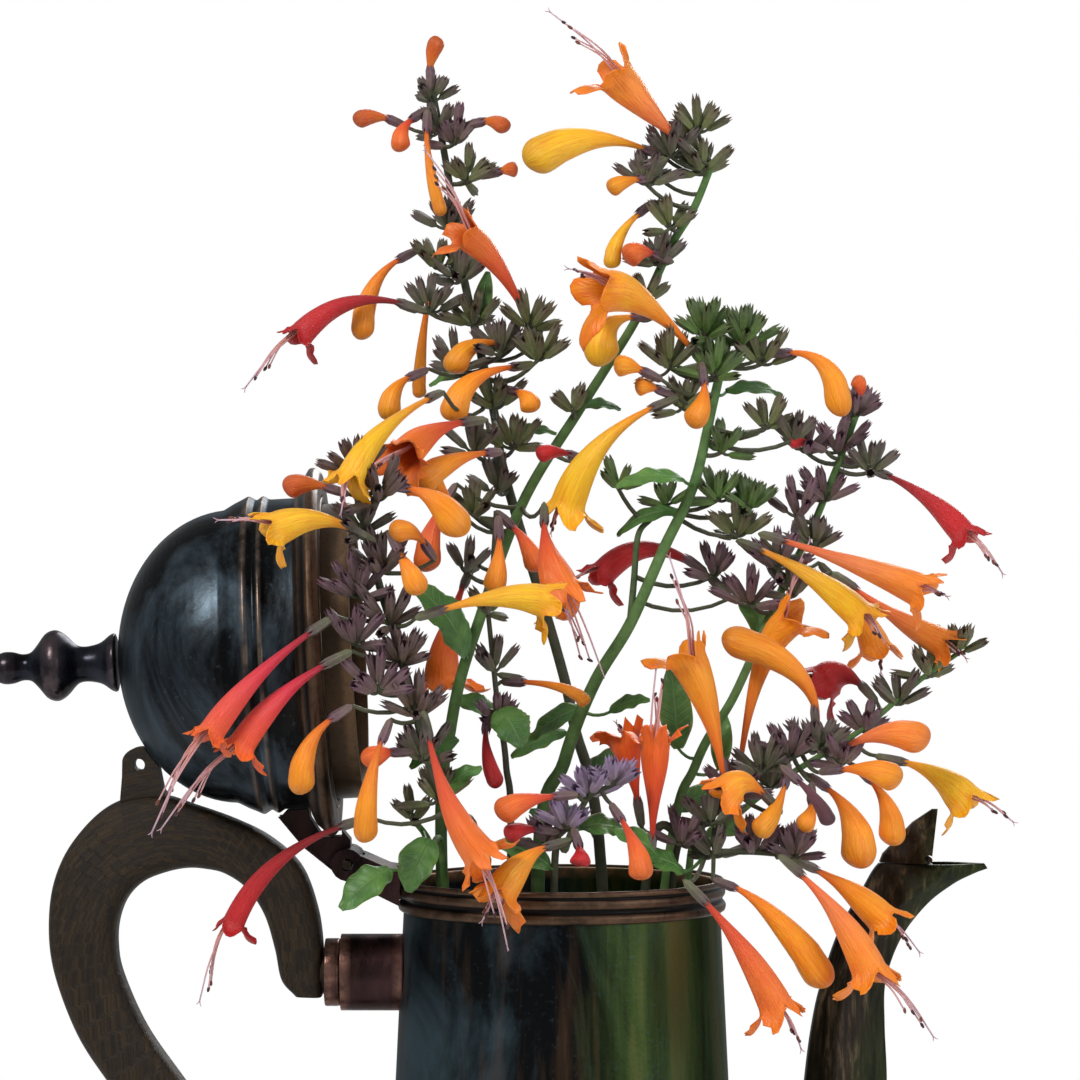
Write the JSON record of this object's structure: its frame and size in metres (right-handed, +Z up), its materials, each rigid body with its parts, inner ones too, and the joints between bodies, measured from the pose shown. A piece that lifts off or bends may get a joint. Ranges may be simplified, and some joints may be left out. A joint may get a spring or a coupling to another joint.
{
  "type": "agastache in a coffee-pot vase",
  "caption": "Cut agastache stems with tubular orange, yellow and red flowers, standing in an old patinated metal coffee pot with hinged lid, wooden handle and faceted spout.",
  "frame": {"origin": "on the pot's axis, at the underside of its base", "axes": "+Z up along the pot's axis, +X towards the spout, -X towards the handle, -Y the front"},
  "size_m": [0.2496, 0.1176, 0.3696],
  "materials": {
    "pot_patina": "dark blue-green and brown patina on tinned copper alloy, satin",
    "lid_patina": "blue-grey cloudy patina, satin",
    "spout_patina": "brown brushed patina with mossy green",
    "worn_copper": "worn copper-brown mouldings, glossy on the edges",
    "bezel_bronze": "bare tan bronze, rough",
    "handle_wood": "dark oiled hardwood, grain along the curve",
    "green_stem": "fresh green stem, matt",
    "dark_stem": "dark green-brown stem and purple-grey calyces, matt",
    "leaf": "green leaf, soft sheen",
    "orange_corolla": "orange petal, satin and a little translucent",
    "yellow_corolla": "golden yellow petal, satin and a little translucent",
    "salmon_corolla": "salmon to red-orange petal, satin and a little translucent",
    "crimson_corolla": "crimson petal, satin and a little translucent"
  },
  "bodies": {
    "pot": {"bud_top_gold": "yellow_corolla", "flap_hinge_pin": "worn_copper", "flower_centre_gold": "yellow_corolla", "flower_centre_large": "yellow_corolla", "flower_centre_salmon": "salmon_corolla", "flower_crimson_centre": "crimson_corolla", "flower_crimson_hinge": "crimson_corolla", "flower_crimson_left": "crimson_corolla", "flower_crimson_right": "crimson_corolla", "flower_front_large": "salmon_corolla", "flower_front_rim": "yellow_corolla", "flower_gold_left": "yellow_corolla", "flower_gold_lid": "yellow_corolla", "flower_magenta_lower": "crimson_corolla", "flower_magenta_upper": "crimson_corolla", "flower_middle_tall": "orange_corolla", "flower_red_orange_high": "salmon_corolla", "flower_right_gold": "yellow_corolla", "flower_right_long": "salmon_corolla", "flower_right_low_gold": "yellow_corolla", "flower_right_low_red": "salmon_corolla", "flower_right_low_salmon": "salmon_corolla", "flower_right_tall": "orange_corolla", "flower_salmon_frilly": "salmon_corolla", "flower_top": "salmon_corolla", "flower_upright": "salmon_corolla", "foot_ring": "worn_copper", "handle": "handle_wood", "leaf_big_blue_green": "leaf", "leaf_bright_front": "leaf", "leaf_front_left": "leaf", "leaf_long_middle": "leaf", "leaf_right_upright": "leaf", "lid_hinge_bracket": "pot_patina", "lid_hinge_pin": "worn_copper", "lower_handle_pin": "worn_copper", "lower_handle_socket": "pot_patina", "pot_body": "pot_patina", "rim_moulding": "worn_copper", "spout": "spout_patina", "stem_1": "dark_stem", "stem_10": "green_stem", "stem_11": "dark_stem", "stem_12": "dark_stem", "stem_2": "green_stem", "stem_3": "dark_stem", "stem_4": "green_stem", "stem_6": "green_stem", "stem_7": "green_stem", "stem_8": "dark_stem", "stem_9": "dark_stem", "upper_handle_pin": "worn_copper", "upper_handle_socket": "pot_patina"},
    "lid": {"lid_dome": "lid_patina", "lid_flange": "worn_copper", "lid_bezel": "bezel_bronze", "lid_finial": "lid_patina", "lid_strap": "pot_patina"},
    "spout_flap": {"spout_flap": "spout_patina"}
  },
  "joints": [
    {"name": "lid_hinge", "type": "hinge", "parent": "pot", "child": "lid", "pos_m": [-0.0533, 0, 0.1595], "axis": [0, 1, 0], "range_deg": [0, 10]},
    {"name": "flap_hinge", "type": "hinge", "parent": "pot", "child": "spout_flap", "pos_m": [0.0912, 0, 0.1606], "axis": [0, 1, 0], "range_deg": [0, 70]}
  ]
}
